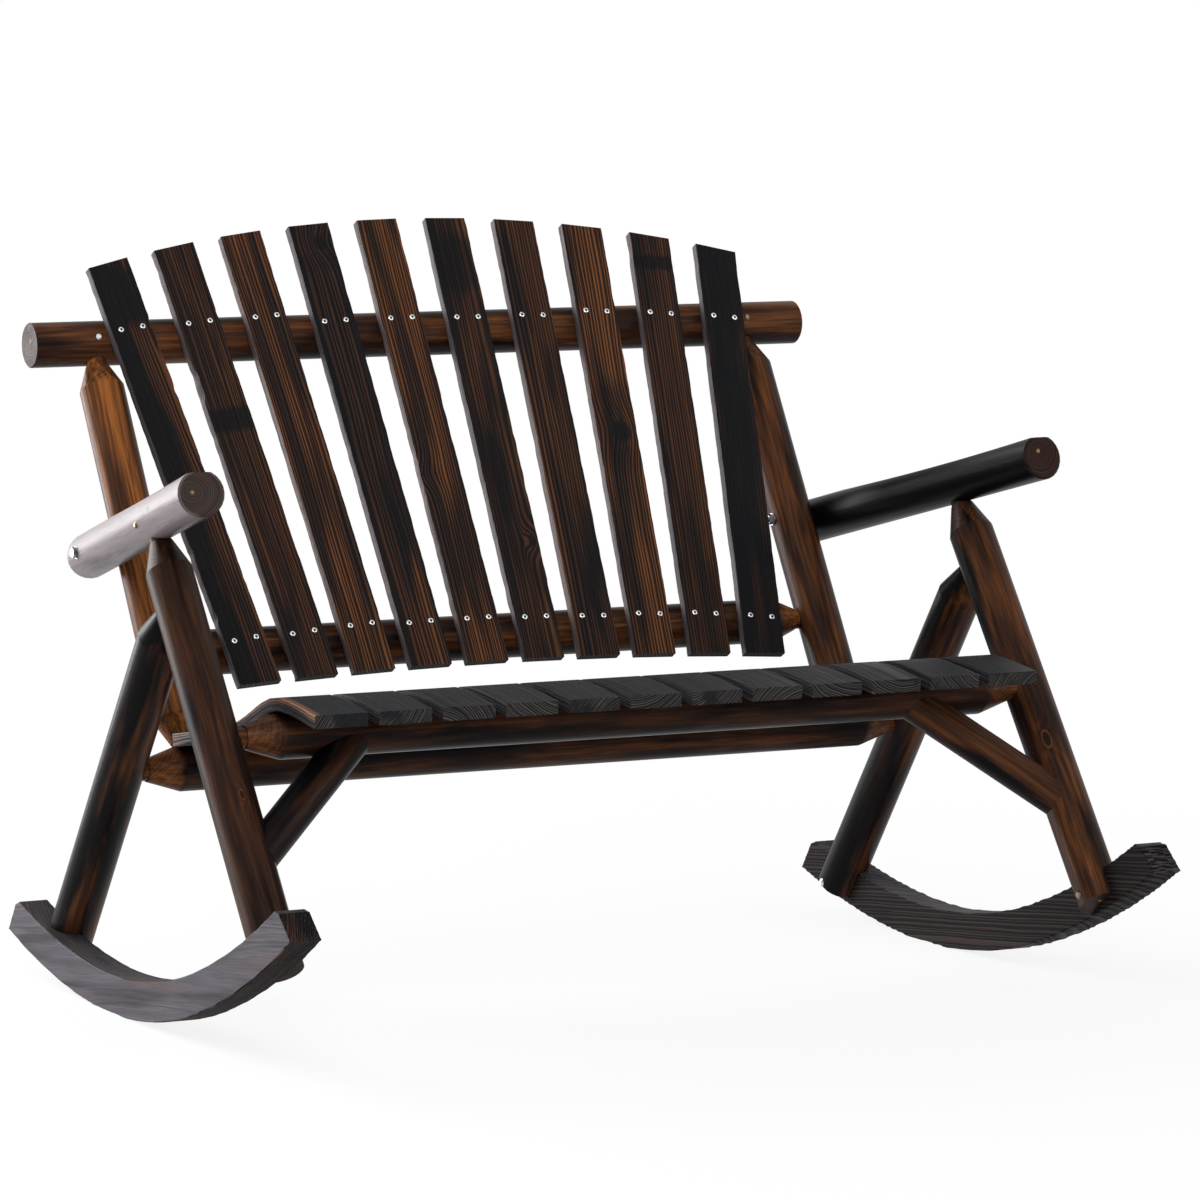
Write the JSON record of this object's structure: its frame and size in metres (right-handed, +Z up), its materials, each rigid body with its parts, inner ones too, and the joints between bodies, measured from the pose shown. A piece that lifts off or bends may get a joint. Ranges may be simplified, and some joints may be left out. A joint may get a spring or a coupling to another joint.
{
  "type": "rocking bench",
  "caption": "Rustic rocking bench of turned logs with a fanned board back, a contoured board seat, round arms and curved plank rockers that stand on the floor",
  "frame": {"origin": "on the floor under the middle of the bounding box, with the empty bench rocked back as it comes to rest", "axes": "X runs along the seat, to the right of someone who faces the bench; -Y is the front; +Z is up"},
  "size_m": [1.316, 1.0638, 1.0317],
  "materials": {
    "varnished_log": "burnt and varnished satin, orange-brown grain with near-black flanks",
    "charred_board": "charred and wire-brushed, near black with narrow brown grain stripes",
    "zinc_steel": "bright zinc plate"
  },
  "bodies": {
    "root": {"front_leg_left": "varnished_log", "front_leg_right": "varnished_log", "rear_leg_left": "varnished_log", "rear_leg_right": "varnished_log", "back_post_left": "varnished_log", "back_post_right": "varnished_log", "arm_left": "varnished_log", "arm_right": "varnished_log", "brace_left": "varnished_log", "brace_right": "varnished_log", "front_seat_rail": "varnished_log", "rear_seat_rail": "varnished_log", "lower_back_rail": "varnished_log", "upper_back_rail": "varnished_log", "rocker_left": "charred_board", "rocker_right": "charred_board", "seat_slat_01": "charred_board", "seat_slat_02": "charred_board", "seat_slat_03": "charred_board", "seat_slat_04": "charred_board", "seat_slat_05": "charred_board", "seat_slat_06": "charred_board", "seat_slat_07": "charred_board", "seat_slat_08": "charred_board", "seat_slat_09": "charred_board", "seat_slat_10": "charred_board", "seat_slat_11": "charred_board", "seat_slat_12": "charred_board", "back_slat_01": "charred_board", "back_slat_02": "charred_board", "back_slat_03": "charred_board", "back_slat_04": "charred_board", "back_slat_05": "charred_board", "back_slat_06": "charred_board", "back_slat_07": "charred_board", "back_slat_08": "charred_board", "back_slat_09": "charred_board", "back_slat_10": "charred_board", "arm_bolt_left": "zinc_steel", "arm_bolt_right": "zinc_steel", "arm_washer_outer_left": "zinc_steel", "arm_washer_outer_right": "zinc_steel", "arm_washer_inner_left": "zinc_steel", "arm_washer_inner_right": "zinc_steel", "arm_nut_left": "zinc_steel", "arm_nut_right": "zinc_steel", "front_leg_lag_left": "zinc_steel", "front_leg_lag_right": "zinc_steel", "rear_leg_lag_left": "zinc_steel", "rear_leg_lag_right": "zinc_steel", "arm_tenon_screw_left": "zinc_steel", "arm_tenon_screw_right": "zinc_steel", "upper_rail_screw_left": "zinc_steel", "upper_rail_screw_right": "zinc_steel"}
  },
  "joints": []
}
